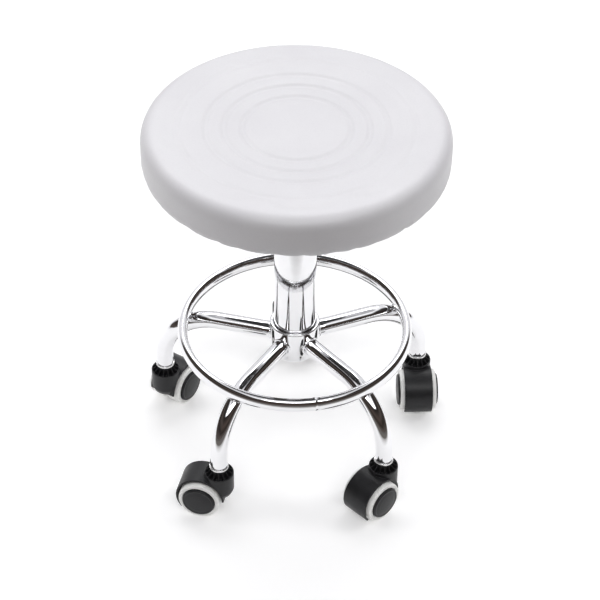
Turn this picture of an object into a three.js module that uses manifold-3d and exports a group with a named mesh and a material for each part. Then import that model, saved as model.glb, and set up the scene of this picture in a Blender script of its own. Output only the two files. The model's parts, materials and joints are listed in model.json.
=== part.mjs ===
// Rolling stylist stool: a round padded seat on a gas lift, a chromed five-legged base with a foot
// ring, and five hooded twin-wheel casters. Millimetres, +Z up. The origin is the point of the floor
// under the column's axis. The first leg runs back along +Y, and the others follow it anticlockwise.

import * as THREE from "three";
import { mergeVertices } from "three/addons/utils/BufferGeometryUtils.js";
import Module from "manifold-3d";

const GAP = 0.3; // left between pieces that touch

// Base: hub, legs and foot ring, all welded together.
const LEG_COUNT = 5;
const LEG_RADIUS = 10.5;
const LEG_BORE = 9.3;
const LEG_AXIS_Z = 153;
const LEG_REACH = 166; // from the column's axis to a caster's swivel axis
const LEG_BEND = 70;
const LEG_END_Z = 70.3;
const SOCKET_RADIUS = 7.6; // of the caster socket in a leg's end
const SOCKET_FLANGE = 11.5;
const HUB_RADIUS = 30;
const HUB_BOTTOM = 141.5;
const HUB_TOP = 175.5;
const RING_RADIUS = 134.8; // of the foot ring's centre line
const RING_HALF_WIDTH = 6.25;
const RING_HALF_HEIGHT = 9;
const RING_Z = 161.5;

// Gas lift.
const COLUMN_RADIUS = 25;
const COLUMN_BORE = 23.2;
const COLUMN_BOTTOM = 126;
const COLUMN_TOP = 350;
const COLUMN_FLOOR = 4; // thickness of the column's closed bottom
const ROD_RADIUS = 5;
const ROD_NECK = 4; // the rod's thin lower end, which passes through the column's bottom
const ROD_BOTTOM = 118;
const ROD_TOP = 300; // so the piston stays above the cylinder's floor at full height
const BEARING_HEIGHT = 8;
const CYLINDER_RADIUS = 14;
const CYLINDER_BORE = 12.2;
const CYLINDER_BOTTOM = 144;
const CYLINDER_TOP = 388;
const TAPER_BOTTOM = 366; // the cylinder narrows from here up, and wedges in the seat plate's boss
const TAPER_TOP_RADIUS = 13.3;
const PIN_RADIUS = 4;
const PIN_BOTTOM = 379;
const PIN_TOP = 392.7;

// Release lever.
const LEVER_RADIUS = 4;
const LEVER_Z = 397;
const LEVER_PIVOT_X = 24;
const CROSS_PIN_RADIUS = 2;
const LEVER_SLOT_HALF = 5.2; // half the width of the slot that lets the lever into the boss
const EAR_INNER = 5.5; // the ears that carry the cross pin, measured from the middle plane
const EAR_OUTER = 8.5;
const EAR_REACH = 7;
const GRIP_RADIUS = 7.5;
const GRIP_Z = 378;
const GRIP_START_X = 114;
const GRIP_END_X = 156;

// Seat.
const SEAT_RADIUS = 175;
const SEAT_BOTTOM = 405;
const SEAT_TOP = 460;
const SEAT_EDGE = 18; // radius of the pad's rounded edges
const SEAT_DISH = 4; // how far the middle of the seat lies below its rim
const FLAT_RADIUS = 60; // the middle of the dish is flat
const COVER_THICKNESS = 1.8;
const COVER_OPENING = 120; // the cover is turned under the board as far as this radius
const BOARD_RADIUS = 154;
const BOARD_BOTTOM = 407.1;
const BOARD_THICKNESS = 12;
const PLATE_SIZE = 140;
const PLATE_BOTTOM = 404.3;
const PLATE_THICKNESS = 2.5;
const BOSS_RADIUS = 21;

// Casters. Each is drawn about its own swivel axis, and its wheels trail behind that along +X.
const TRAIL = 20;
const WHEEL_RADIUS = 25;
const TYRE_BORE = 20;
const TYRE_INNER = 4.3; // distances from the caster's middle plane
const TYRE_OUTER = 22.5;
const WEB_HALF = 3.5; // half the thickness of the hood's middle web
const HOOD_HALF = 17.5; // half the hood's width, and the radius of its neck
const HOOD_RADIUS = 29.5; // of the mudguard about the axle
const WELL_RADIUS = 26.8; // of the space that each wheel turns in
const HOOD_TOP = 70.5;
const AXLE_RADIUS = 3;
const STEM_RADIUS = 5;
const STEM_BOTTOM = 52.3;
const STEM_TOP = 90;
const AXLE_END = 20.5; // from the caster's middle plane
const NECK_RECESS_RADIUS = 12.3; // of the open space in the neck's top, round the socket
const NECK_RECESS_FLOOR = 64.2;
// The way that each caster trails at rest, in degrees anticlockwise from +X.
const TRAIL_AZIMUTHS = [-62, 53, 163, 221, -91];

// Facets round each kind of piece.
const BODY_SEGMENTS = 28;
const SEAT_SEGMENTS = 32;
const WHEEL_SEGMENTS = 20;
const SMALL_SEGMENTS = 12;
const CASTER_SEGMENTS = 16;
const PIN_SEGMENTS = 10;
const RING_SEGMENTS = 48;
const TUBE_SIDES = 10;

const CHROME = { color: 0xd9dbe0, roughness: 0.08, metalness: 1 };
const STEEL = { color: 0x8d9094, roughness: 0.4, metalness: 0.9 };
const BLACK_PAINT = { color: 0x17181a, roughness: 0.5, metalness: 0.3 };
const BLACK_NYLON = { color: 0x0c0c0e, roughness: 0.42, metalness: 0 };
const WHITE_PU = { color: 0xf0f0ee, roughness: 0.45, metalness: 0 };
const WHITE_NYLON = { color: 0xe4e4e0, roughness: 0.5, metalness: 0 };
const WHITE_LEATHER = { color: 0xeeedf1, roughness: 0.38, metalness: 0 };
const FOAM = { color: 0xe6dfc4, roughness: 0.95, metalness: 0 };
const PLYWOOD = { color: 0xc9a877, roughness: 0.75, metalness: 0 };

const wasm = await Module();
wasm.setup();

// ---- Solids ----

function solid(geometry) {
  const bare = geometry.index ? geometry.toNonIndexed() : geometry.clone();
  bare.deleteAttribute("normal");
  bare.deleteAttribute("uv");
  const merged = mergeVertices(bare, 1e-3);
  return new wasm.Manifold(
    new wasm.Mesh({
      numProp: 3,
      vertProperties: merged.attributes.position.array,
      triVerts: new Uint32Array(merged.index.array),
    }),
  );
}

function geometryOf(made) {
  const mesh = made.getMesh();
  const geometry = new THREE.BufferGeometry();
  geometry.setAttribute("position", new THREE.BufferAttribute(mesh.vertProperties, 3));
  geometry.setIndex(new THREE.BufferAttribute(mesh.triVerts, 1));
  return geometry;
}

function joined(...geometries) {
  return geometryOf(geometries.map(solid).reduce((sum, piece) => sum.add(piece)));
}

function cut(geometry, ...tools) {
  return geometryOf(tools.map(solid).reduce((rest, tool) => rest.subtract(tool), solid(geometry)));
}

// A solid turned about Z from [radius, height] points, which run anticlockwise round the material.
function turned(points, segments) {
  const profile = points.map(([radius, height]) => new THREE.Vector2(radius, height));
  return new THREE.LatheGeometry(profile, segments).rotateX(Math.PI / 2);
}

function ring(inner, outer, bottom, top, segments) {
  const points = [[inner, bottom], [outer, bottom], [outer, top], [inner, top], [inner, bottom]];
  return turned(points, segments);
}

function rodAlongY(radius, from, to, x, z, segments) {
  const rod = new THREE.CylinderGeometry(radius, radius, to - from, segments);
  return rod.translate(x, (from + to) / 2, z);
}

function box(x0, x1, y0, y1, z0, z1) {
  const block = new THREE.BoxGeometry(x1 - x0, y1 - y0, z1 - z0);
  return block.translate((x0 + x1) / 2, (y0 + y1) / 2, (z0 + z1) / 2);
}

// A bar or tube of round section along a curve.
function pipe(curve, steps, outer, bore, sides) {
  const section = new THREE.Shape().absarc(0, 0, outer, 0, 2 * Math.PI);
  if (bore > 0) section.holes.push(new THREE.Path().absarc(0, 0, bore, 0, 2 * Math.PI));
  const options = { steps, extrudePath: curve, curveSegments: sides / 2, bevelEnabled: false };
  return new THREE.ExtrudeGeometry(section, options);
}

function mesh(name, geometry, finish) {
  const made = new THREE.Mesh(geometry, new THREE.MeshStandardMaterial(finish));
  made.name = name;
  return made;
}

// ---- Base ----

// The centre line of the leg that runs out along +X: straight, round a quarter bend, and down.
class LegLine extends THREE.Curve {
  static BEND_STEPS = 6;
  static STEPS = LegLine.BEND_STEPS + 2; // one step for each straight end

  getPoint(t, target = new THREE.Vector3()) {
    const station = t * LegLine.STEPS;
    const bendX = LEG_REACH - LEG_BEND;
    const bendZ = LEG_AXIS_Z - LEG_BEND;
    if (station <= 1) {
      return target.set(THREE.MathUtils.lerp(COLUMN_RADIUS, bendX, station), 0, LEG_AXIS_Z);
    }
    if (station >= 1 + LegLine.BEND_STEPS) {
      const down = station - 1 - LegLine.BEND_STEPS;
      return target.set(LEG_REACH, 0, THREE.MathUtils.lerp(bendZ, LEG_END_Z, down));
    }
    const angle = ((station - 1) / LegLine.BEND_STEPS) * (Math.PI / 2);
    return target.set(bendX + LEG_BEND * Math.sin(angle), 0, bendZ + LEG_BEND * Math.cos(angle));
  }

  // The steps of a sweep fall on the stations, and not at equal lengths.
  getPointAt(u, target) {
    return this.getPoint(u, target);
  }

  getTangentAt(u, target) {
    return this.getTangent(u, target);
  }
}

function legGeometry() {
  const tube = pipe(new LegLine(), LegLine.STEPS, LEG_RADIUS, LEG_BORE, TUBE_SIDES);
  const cope = turned(
    [[0, HUB_BOTTOM - 5], [HUB_RADIUS + GAP, HUB_BOTTOM - 5], [HUB_RADIUS + GAP, HUB_TOP], [0, HUB_TOP]],
    BODY_SEGMENTS,
  );
  return cut(tube, cope);
}

function legAngle(index) {
  return Math.PI / 2 + (index * 2 * Math.PI) / LEG_COUNT;
}

// The foot ring is an oval tube that sits on the legs' shoulders, notched where they pass.
function footRingGeometry() {
  const profile = [];
  for (let i = 0; i <= TUBE_SIDES; i++) {
    const angle = (i / TUBE_SIDES) * 2 * Math.PI;
    profile.push([
      RING_RADIUS + RING_HALF_WIDTH * Math.cos(angle),
      RING_Z + RING_HALF_HEIGHT * Math.sin(angle),
    ]);
  }
  const legs = [];
  for (let i = 0; i < LEG_COUNT; i++) {
    const leg = pipe(new LegLine(), LegLine.STEPS, LEG_RADIUS + GAP, 0, TUBE_SIDES);
    legs.push(leg.rotateZ(legAngle(i)));
  }
  return cut(turned(profile, RING_SEGMENTS), ...legs);
}

function hubGeometry() {
  const bore = COLUMN_RADIUS + GAP;
  return turned(
    [
      [bore, HUB_BOTTOM],
      [HUB_RADIUS - 1.5, HUB_BOTTOM],
      [HUB_RADIUS, HUB_BOTTOM + 1.5],
      [HUB_RADIUS, HUB_TOP - 1.5],
      [HUB_RADIUS - 1.5, HUB_TOP],
      [bore, HUB_TOP],
      [bore, HUB_BOTTOM],
    ],
    BODY_SEGMENTS,
  );
}

// The socket pressed into each leg's end. It holds the caster's stem, and its flange shows below.
function socketGeometry() {
  const bore = STEM_RADIUS + GAP;
  const flangeTop = LEG_END_Z - GAP;
  return turned(
    [
      [bore, flangeTop - 3],
      [SOCKET_FLANGE, flangeTop - 3],
      [SOCKET_FLANGE, flangeTop],
      [SOCKET_RADIUS, flangeTop],
      [SOCKET_RADIUS, STEM_TOP + 2],
      [bore, STEM_TOP + 2],
      [bore, flangeTop - 3],
    ],
    SMALL_SEGMENTS,
  );
}

// ---- Gas lift ----

function columnGeometry() {
  const neck = ROD_NECK + GAP;
  return turned(
    [
      [neck, COLUMN_BOTTOM],
      [22, COLUMN_BOTTOM],
      [COLUMN_RADIUS, COLUMN_BOTTOM + 3],
      [COLUMN_RADIUS, COLUMN_TOP],
      [COLUMN_BORE, COLUMN_TOP],
      [COLUMN_BORE, COLUMN_BOTTOM + COLUMN_FLOOR],
      [neck, COLUMN_BOTTOM + COLUMN_FLOOR],
      [neck, COLUMN_BOTTOM],
    ],
    BODY_SEGMENTS,
  );
}

// The plastic bush that the gas cylinder slides and turns in, with a collar on the column's top.
function guideGeometry() {
  const bore = CYLINDER_RADIUS + GAP;
  const length = 100;
  const collar = 7;
  return turned(
    [
      [bore, COLUMN_TOP - length],
      [COLUMN_BORE - GAP, COLUMN_TOP - length],
      [COLUMN_BORE - GAP, COLUMN_TOP + GAP],
      [COLUMN_RADIUS, COLUMN_TOP + GAP],
      [COLUMN_RADIUS - 2, COLUMN_TOP + collar],
      [bore, COLUMN_TOP + collar],
      [bore, COLUMN_TOP - length],
    ],
    BODY_SEGMENTS,
  );
}

function bearingGeometry() {
  const bottom = COLUMN_BOTTOM + COLUMN_FLOOR + GAP;
  return ring(ROD_NECK + GAP, 12, bottom, bottom + BEARING_HEIGHT, SMALL_SEGMENTS);
}

function clipGeometry() {
  const top = COLUMN_BOTTOM - GAP;
  return ring(ROD_NECK + GAP, 9, top - 3, top, SMALL_SEGMENTS);
}

// The piston rod stands on the thrust bearing, and its piston is inside the gas cylinder.
function rodGeometry() {
  const shoulder = COLUMN_BOTTOM + COLUMN_FLOOR + BEARING_HEIGHT + 2 * GAP;
  const piston = CYLINDER_BORE - 0.5;
  return turned(
    [
      [0, ROD_BOTTOM],
      [ROD_NECK, ROD_BOTTOM],
      [ROD_NECK, shoulder],
      [ROD_RADIUS, shoulder],
      [ROD_RADIUS, ROD_TOP - 12],
      [piston, ROD_TOP - 12],
      [piston, ROD_TOP],
      [0, ROD_TOP],
    ],
    SMALL_SEGMENTS,
  );
}

// The gas cylinder is open only round the rod and, at its top, where the release pin sits.
function cylinderGeometry() {
  const wall = 8;
  const pinBore = PIN_RADIUS + GAP;
  return turned(
    [
      [0, CYLINDER_TOP - 14 - wall],
      [CYLINDER_BORE, CYLINDER_TOP - 14 - wall],
      [CYLINDER_BORE, CYLINDER_BOTTOM + wall],
      [ROD_RADIUS + GAP, CYLINDER_BOTTOM + wall],
      [ROD_RADIUS + GAP, CYLINDER_BOTTOM],
      [CYLINDER_RADIUS, CYLINDER_BOTTOM],
      [CYLINDER_RADIUS, TAPER_BOTTOM],
      [TAPER_TOP_RADIUS, CYLINDER_TOP],
      [pinBore, CYLINDER_TOP],
      [pinBore, CYLINDER_TOP - 13],
      [0, CYLINDER_TOP - 13],
    ],
    BODY_SEGMENTS,
  );
}

function pinGeometry() {
  const points = [[0, PIN_BOTTOM], [PIN_RADIUS, PIN_BOTTOM], [PIN_RADIUS, PIN_TOP], [0, PIN_TOP]];
  return turned(points, SMALL_SEGMENTS);
}

// ---- Seat ----

// The pad's outline from the start of its lower edge to the axis, a distance in from its surface.
function padOutline(inset) {
  const points = [];
  const steps = 3;
  const middle = SEAT_RADIUS - SEAT_EDGE;
  const radius = SEAT_EDGE - inset;
  for (const [z, start] of [[SEAT_BOTTOM + SEAT_EDGE, -Math.PI / 2], [SEAT_TOP - SEAT_EDGE, 0]]) {
    for (let i = 0; i <= steps; i++) {
      const angle = start + (i / steps) * (Math.PI / 2);
      points.push([middle + radius * Math.cos(angle), z + radius * Math.sin(angle)]);
    }
  }
  const dish = SEAT_TOP - SEAT_DISH - inset;
  return [...points, [FLAT_RADIUS, dish], [0, dish]];
}

function coverGeometry() {
  const outside = padOutline(0);
  const inside = padOutline(COVER_THICKNESS).reverse();
  const edge = [COVER_OPENING, SEAT_BOTTOM];
  const points = [edge, ...outside, ...inside, [COVER_OPENING, SEAT_BOTTOM + COVER_THICKNESS], edge];
  return turned(points, SEAT_SEGMENTS);
}

// The foam covers the board like a lid, and its skirt fills the edge beside it.
function foamGeometry() {
  const inset = COVER_THICKNESS + GAP;
  const boardTop = BOARD_BOTTOM + BOARD_THICKNESS + GAP;
  const board = BOARD_RADIUS + GAP;
  const start = [[0, boardTop], [board, boardTop], [board, SEAT_BOTTOM + inset]];
  return turned([...start, ...padOutline(inset)], SEAT_SEGMENTS);
}

function boardGeometry() {
  const top = BOARD_BOTTOM + BOARD_THICKNESS;
  const points = [[0, BOARD_BOTTOM], [BOARD_RADIUS, BOARD_BOTTOM], [BOARD_RADIUS, top], [0, top]];
  return turned(points, SEAT_SEGMENTS);
}

// A pressed plate with a tapered boss below it, and two ears that carry the release lever.
function plateGeometry() {
  const half = PLATE_SIZE / 2;
  const corner = 12;
  const outline = new THREE.Shape();
  for (let i = 0; i < 4; i++) {
    const x = (half - corner) * (i === 0 || i === 3 ? 1 : -1);
    const y = (half - corner) * (i < 2 ? 1 : -1);
    outline.absarc(x, y, corner, (i * Math.PI) / 2, ((i + 1) * Math.PI) / 2);
  }
  const options = { depth: PLATE_THICKNESS, curveSegments: 2, bevelEnabled: false };
  const plate = new THREE.ExtrudeGeometry(outline, options).translate(0, 0, PLATE_BOTTOM);
  const overlap = PLATE_BOTTOM + 0.5; // the boss and the ears run into the plate
  const bossBore = TAPER_TOP_RADIUS + GAP;
  const boss = turned(
    [
      [CYLINDER_RADIUS + GAP, TAPER_BOTTOM],
      [BOSS_RADIUS, TAPER_BOTTOM],
      [BOSS_RADIUS, overlap],
      [bossBore, overlap],
      [bossBore, CYLINDER_TOP + GAP],
      [CYLINDER_RADIUS + GAP, TAPER_BOTTOM],
    ],
    BODY_SEGMENTS,
  );
  const slotBottom = LEVER_Z - LEVER_RADIUS - 1.5;
  const slotTop = PLATE_BOTTOM - GAP;
  const slot = box(5, BOSS_RADIUS + 9, -LEVER_SLOT_HALF, LEVER_SLOT_HALF, slotBottom, slotTop);
  const ears = [-1, 1].map((side) =>
    box(
      LEVER_PIVOT_X - EAR_REACH,
      LEVER_PIVOT_X + EAR_REACH,
      Math.min(side * EAR_INNER, side * EAR_OUTER),
      Math.max(side * EAR_INNER, side * EAR_OUTER),
      LEVER_Z - 6,
      overlap,
    ),
  );
  const holeEnd = EAR_OUTER + 1.5;
  const holeRadius = CROSS_PIN_RADIUS + 0.4;
  const pivotHole = rodAlongY(holeRadius, -holeEnd, holeEnd, LEVER_PIVOT_X, LEVER_Z, SMALL_SEGMENTS);
  return cut(joined(plate, boss, ...ears), slot, pivotHole);
}

// The lever lies over the release pin, turns on a cross pin between the ears, and bends down.
function leverGeometry() {
  const line = new THREE.CatmullRomCurve3(
    [
      [-3, LEVER_Z],
      [12, LEVER_Z],
      [30, LEVER_Z],
      [50, LEVER_Z - 9],
      [70, GRIP_Z + 1],
      [88, GRIP_Z],
      [GRIP_START_X, GRIP_Z],
      [GRIP_END_X - 13, GRIP_Z],
    ].map(([x, z]) => new THREE.Vector3(x, 0, z)),
  );
  const pinEnd = EAR_OUTER + 1;
  const crossPin = rodAlongY(
    CROSS_PIN_RADIUS, -pinEnd, pinEnd, LEVER_PIVOT_X, LEVER_Z, SMALL_SEGMENTS,
  );
  return joined(pipe(line, 12, LEVER_RADIUS, 0, TUBE_SIDES), crossPin);
}

function gripGeometry() {
  const bore = LEVER_RADIUS + 0.4;
  const length = GRIP_END_X - GRIP_START_X;
  const grip = turned(
    [
      [0, length - 12],
      [bore, length - 12],
      [bore, 0],
      [GRIP_RADIUS - 2, 0],
      [GRIP_RADIUS - 1, 6],
      [GRIP_RADIUS, length - 8],
      [GRIP_RADIUS - 3, length],
      [0, length],
    ],
    SMALL_SEGMENTS,
  );
  return grip.rotateY(Math.PI / 2).translate(GRIP_START_X, 0, GRIP_Z);
}

// ---- Casters ----

function hoodGeometry() {
  const neck = turned(
    [
      [0, WHEEL_RADIUS],
      [11, WHEEL_RADIUS],
      [15.5, WHEEL_RADIUS + 2.5],
      [HOOD_HALF, WHEEL_RADIUS + 8],
      [HOOD_HALF, 59],
      [16.5, 64.5],
      [14.6, 68.5],
      [12.9, HOOD_TOP],
      [NECK_RECESS_RADIUS, HOOD_TOP],
      [NECK_RECESS_RADIUS, NECK_RECESS_FLOOR],
      [STEM_RADIUS + GAP, NECK_RECESS_FLOOR],
      [STEM_RADIUS + GAP, STEM_BOTTOM - GAP],
      [0, STEM_BOTTOM - GAP],
    ],
    CASTER_SEGMENTS,
  );
  const guardStart = THREE.MathUtils.degToRad(-38);
  const outline = new THREE.Shape().absarc(TRAIL, WHEEL_RADIUS, HOOD_RADIUS, guardStart, Math.PI);
  const options = { depth: 2 * HOOD_HALF, curveSegments: 6, bevelEnabled: false };
  const guard = new THREE.ExtrudeGeometry(outline, options)
    .rotateX(Math.PI / 2)
    .translate(0, HOOD_HALF, 0);
  const wells = [-1, 1].map((side) => {
    const from = Math.min(side * WEB_HALF, side * (HOOD_HALF + 5));
    const to = Math.max(side * WEB_HALF, side * (HOOD_HALF + 5));
    return rodAlongY(WELL_RADIUS, from, to, TRAIL, WHEEL_RADIUS, WHEEL_SEGMENTS);
  });
  const webOut = WEB_HALF + 1;
  const axleHole = rodAlongY(AXLE_RADIUS + GAP, -webOut, webOut, TRAIL, WHEEL_RADIUS, SMALL_SEGMENTS);
  return cut(joined(neck, guard), ...wells, axleHole);
}

function stemGeometry() {
  return turned(
    [
      [0, STEM_BOTTOM],
      [STEM_RADIUS, STEM_BOTTOM],
      [STEM_RADIUS, STEM_TOP - 2],
      [STEM_RADIUS - 1.5, STEM_TOP],
      [0, STEM_TOP],
    ],
    PIN_SEGMENTS,
  );
}

function axleGeometry() {
  return rodAlongY(AXLE_RADIUS, -AXLE_END, AXLE_END, TRAIL, WHEEL_RADIUS, PIN_SEGMENTS);
}

// A wheel's hard core with its domed cap outside and its blind bore inside, turned about Z.
function coreGeometry() {
  const rim = TYRE_BORE - GAP - 0.2;
  const boreEnd = AXLE_END + 0.5;
  return turned(
    [
      [0, boreEnd],
      [AXLE_RADIUS + GAP, boreEnd],
      [AXLE_RADIUS + GAP, WEB_HALF + 0.5],
      [rim, WEB_HALF + 0.5],
      [rim, TYRE_OUTER],
      [rim - 2, TYRE_OUTER + 2],
      [rim - 10, TYRE_OUTER + 3.4],
      [0, TYRE_OUTER + 3.8],
    ],
    CASTER_SEGMENTS,
  );
}

function tyreGeometry() {
  return turned(
    [
      [TYRE_BORE, TYRE_INNER],
      [WHEEL_RADIUS, TYRE_INNER],
      [WHEEL_RADIUS, TYRE_OUTER - 1.6],
      [WHEEL_RADIUS - 1.6, TYRE_OUTER],
      [TYRE_BORE, TYRE_OUTER],
      [TYRE_BORE, TYRE_INNER],
    ],
    WHEEL_SEGMENTS,
  );
}

function caster(number) {
  const group = new THREE.Group();
  const name = `caster_${number}`;
  group.add(
    mesh(`${name}_hood`, hoodGeometry(), BLACK_NYLON),
    mesh(`${name}_stem`, stemGeometry(), STEEL),
    mesh(`${name}_axle`, axleGeometry(), STEEL),
  );
  for (const [side, turn] of [["left", -1], ["right", 1]]) {
    const wheel = new THREE.Group();
    wheel.add(
      mesh(`${name}_${side}_wheel`, coreGeometry(), BLACK_NYLON),
      mesh(`${name}_${side}_tyre`, tyreGeometry(), WHITE_PU),
    );
    wheel.position.set(TRAIL, 0, WHEEL_RADIUS);
    wheel.rotation.x = (turn * Math.PI) / 2;
    group.add(wheel);
  }
  return group;
}

// ---- Assembly ----

function base() {
  const group = new THREE.Group();
  group.add(mesh("hub_sleeve", hubGeometry(), CHROME));
  group.add(mesh("foot_ring", footRingGeometry(), CHROME));
  for (let i = 0; i < LEG_COUNT; i++) {
    const spoke = new THREE.Group();
    const foot = new THREE.Group();
    const swivelled = caster(i + 1);
    foot.position.x = LEG_REACH;
    foot.add(mesh(`caster_socket_${i + 1}`, socketGeometry(), STEEL));
    swivelled.rotation.z = THREE.MathUtils.degToRad(TRAIL_AZIMUTHS[i]) - legAngle(i);
    foot.add(swivelled);
    spoke.add(mesh(`leg_${i + 1}`, legGeometry(), CHROME), foot);
    spoke.rotation.z = legAngle(i);
    group.add(spoke);
  }
  return group;
}

function gasLift() {
  const group = new THREE.Group();
  group.add(
    mesh("column_tube", columnGeometry(), CHROME),
    mesh("guide_sleeve", guideGeometry(), WHITE_NYLON),
    mesh("thrust_bearing", bearingGeometry(), STEEL),
    mesh("base_clip", clipGeometry(), STEEL),
    mesh("piston_rod", rodGeometry(), STEEL),
    mesh("gas_cylinder", cylinderGeometry(), CHROME),
    mesh("release_pin", pinGeometry(), STEEL),
  );
  return group;
}

function seat() {
  const group = new THREE.Group();
  group.add(
    mesh("mount_plate", plateGeometry(), BLACK_PAINT),
    mesh("lever_arm", leverGeometry(), STEEL),
    mesh("lever_grip", gripGeometry(), BLACK_NYLON),
    mesh("seat_board", boardGeometry(), PLYWOOD),
    mesh("seat_foam", foamGeometry(), FOAM),
    mesh("seat_cover", coverGeometry(), WHITE_LEATHER),
  );
  return group;
}

const stool = new THREE.Group();
stool.add(base(), gasLift(), seat());

export default stool;
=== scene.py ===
"""Rolling stylist stool: the fine surfaces and materials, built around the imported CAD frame.

The stool's lengths are millimetres and become metres in metres(). The studio's are metres. Z is up,
the column stands on the Z axis, and -Y is the front.
"""

import json
import math
import random
from itertools import product

import bmesh
import bpy
from mathutils import Matrix, Vector
from mathutils.bvhtree import BVHTree


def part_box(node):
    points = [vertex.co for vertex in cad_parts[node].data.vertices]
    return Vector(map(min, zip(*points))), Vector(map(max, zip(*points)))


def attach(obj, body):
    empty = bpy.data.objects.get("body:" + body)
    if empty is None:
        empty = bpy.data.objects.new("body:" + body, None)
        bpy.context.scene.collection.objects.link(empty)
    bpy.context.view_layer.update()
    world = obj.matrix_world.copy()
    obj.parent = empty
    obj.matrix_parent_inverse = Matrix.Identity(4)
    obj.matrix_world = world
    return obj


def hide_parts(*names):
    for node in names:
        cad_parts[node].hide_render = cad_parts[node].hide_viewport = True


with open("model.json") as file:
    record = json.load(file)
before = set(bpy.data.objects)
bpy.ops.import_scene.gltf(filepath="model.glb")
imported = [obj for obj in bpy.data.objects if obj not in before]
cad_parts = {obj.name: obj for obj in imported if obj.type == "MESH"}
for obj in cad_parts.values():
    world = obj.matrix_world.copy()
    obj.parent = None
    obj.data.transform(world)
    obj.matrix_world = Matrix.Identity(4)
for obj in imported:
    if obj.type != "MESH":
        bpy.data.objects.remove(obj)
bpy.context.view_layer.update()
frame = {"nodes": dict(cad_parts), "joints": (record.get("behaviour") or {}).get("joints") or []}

MM = 0.001
NUMBERS = range(1, 6)  # of the legs and the casters
SIDES = ("left", "right")
ROUND = 96  # facets round a large turned piece
FINE_ROUND = 48

# Places and sizes that other pieces depend on, mostly read from the frame.


def node_low(node):
    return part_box(node)[0] / MM


def node_high(node):
    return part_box(node)[1] / MM


def heights(node):
    return node_low(node).z, node_high(node).z


GAP = 0.3  # that the CAD leaves between pieces which touch
HUB_RADIUS = node_high("hub_sleeve").x
HUB_BOTTOM, HUB_TOP = heights("hub_sleeve")
COLUMN_RADIUS = node_high("column_tube").x
COLUMN_BOTTOM, COLUMN_TOP = heights("column_tube")
COLUMN_BORE = COLUMN_RADIUS - 1.8
FLOOR_TOP = COLUMN_BOTTOM + 4  # of the column's own floor
ROD_RADIUS = 4  # where the piston rod goes through that floor
ROD_BORE = ROD_RADIUS + GAP
LEG_RADIUS = 10.5
LEG_AXIS_Z = node_high("leg_1").z - LEG_RADIUS
LEG_END_Z = node_low("leg_1").z
LEG_BEND = 70
SOCKET_RADIUS = 11.5  # of the flange under a leg's end
STEM_BORE = 5 + GAP
LEG_REACH = node_high("caster_socket_1").y - SOCKET_RADIUS
BEND_X = LEG_REACH - LEG_BEND  # centre of the bend of the leg along +X
BEND_Z = LEG_AXIS_Z - LEG_BEND
RING_HALF_WIDTH = 6.25
RING_HALF_HEIGHT = 9
RING_RADIUS = node_high("foot_ring").y - RING_HALF_WIDTH
RING_Z = node_high("foot_ring").z - RING_HALF_HEIGHT
RING_SEAM_ANGLE = -84  # degrees from +X, so the ring's butt weld is near the front
SEAT_RADIUS = node_high("seat_cover").x
SEAT_BOTTOM, SEAT_TOP = heights("seat_cover")
FOLD_RADIUS = 120.5  # where the cover is drawn in under the board
BOARD_RADIUS = node_high("seat_board").x
BOARD_BOTTOM, BOARD_TOP = heights("seat_board")
PLATE_BOTTOM = 404.3
PLATE_THICKNESS = 2.5
PLATE_HALF = node_high("mount_plate").x
CYLINDER_RADIUS = 14
CYLINDER_BOTTOM, CYLINDER_TOP = heights("gas_cylinder")
TAPER_BOTTOM = CYLINDER_TOP - 22
LEVER_Z = 397
LEVER_PIVOT_X = 24
GRIP_Z = 378
TRAIL = 20  # from a caster's swivel axis back to its axle
WHEEL_RADIUS = 25
HOOD_HALF = 17.5  # half a hood's width, and its neck's radius


# ---- Materials ----


class Nodes:
    """The node tree of a material or a world, with short ways to add to it."""

    def __init__(self, owner):
        owner.use_nodes = True
        self.tree = owner.node_tree

    def add(self, kind, inputs=None, **settings):
        node = self.tree.nodes.new(kind)
        for key, value in settings.items():
            setattr(node, key, value)
        for socket, value in (inputs or {}).items():
            self.put(node.inputs[socket], value)
        return node

    def put(self, socket, value):
        if isinstance(value, bpy.types.NodeSocket):
            self.tree.links.new(value, socket)
        else:
            socket.default_value = value

    def math(self, operation, *values):
        return self.add("ShaderNodeMath", dict(enumerate(values)), operation=operation).outputs[0]

    def mix(self, factor, dark, light):
        node = self.add("ShaderNodeMix", {"Factor": factor}, data_type="RGBA")
        self.put(node.inputs[6], dark)
        self.put(node.inputs[7], light)
        return node.outputs[2]


class Shading(Nodes):
    """One material and the nodes that feed its shader."""

    def __init__(self, name, **constants):
        self.material = bpy.data.materials.new(name)
        super().__init__(self.material)
        self.shader = self.tree.nodes["Principled BSDF"]
        for socket, value in constants.items():
            self.shader.inputs[socket.replace("_", " ")].default_value = value
        self.place = self.add("ShaderNodeTexCoord").outputs["Object"]

    def noise(self, scale, detail=4, roughness=0.55, stretch=None):
        """Noise with `scale` features to the metre, drawn out along an axis where stretch says so."""
        place = self.place
        if stretch:
            place = self.add("ShaderNodeMapping", {"Vector": place, "Scale": stretch}).outputs[0]
        inputs = {"Vector": place, "Scale": scale, "Detail": detail, "Roughness": roughness}
        return self.add("ShaderNodeTexNoise", inputs).outputs["Fac"]

    def spread(self, value, low, high, from_low=0.3, from_high=0.7):
        inputs = {"Value": value, "From Min": from_low, "From Max": from_high, "To Min": low, "To Max": high}
        return self.add("ShaderNodeMapRange", inputs).outputs["Result"]

    def bump(self, height, strength, distance, below=None):
        inputs = {"Height": height, "Strength": strength, "Distance": distance}
        if below is not None:
            inputs["Normal"] = below
        return self.add("ShaderNodeBump", inputs).outputs["Normal"]

    def finish(self, color, roughness, normal=None):
        self.put(self.shader.inputs["Base Color"], color)
        self.put(self.shader.inputs["Roughness"], roughness)
        if normal is not None:
            self.put(self.shader.inputs["Normal"], normal)
        return self.material


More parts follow.
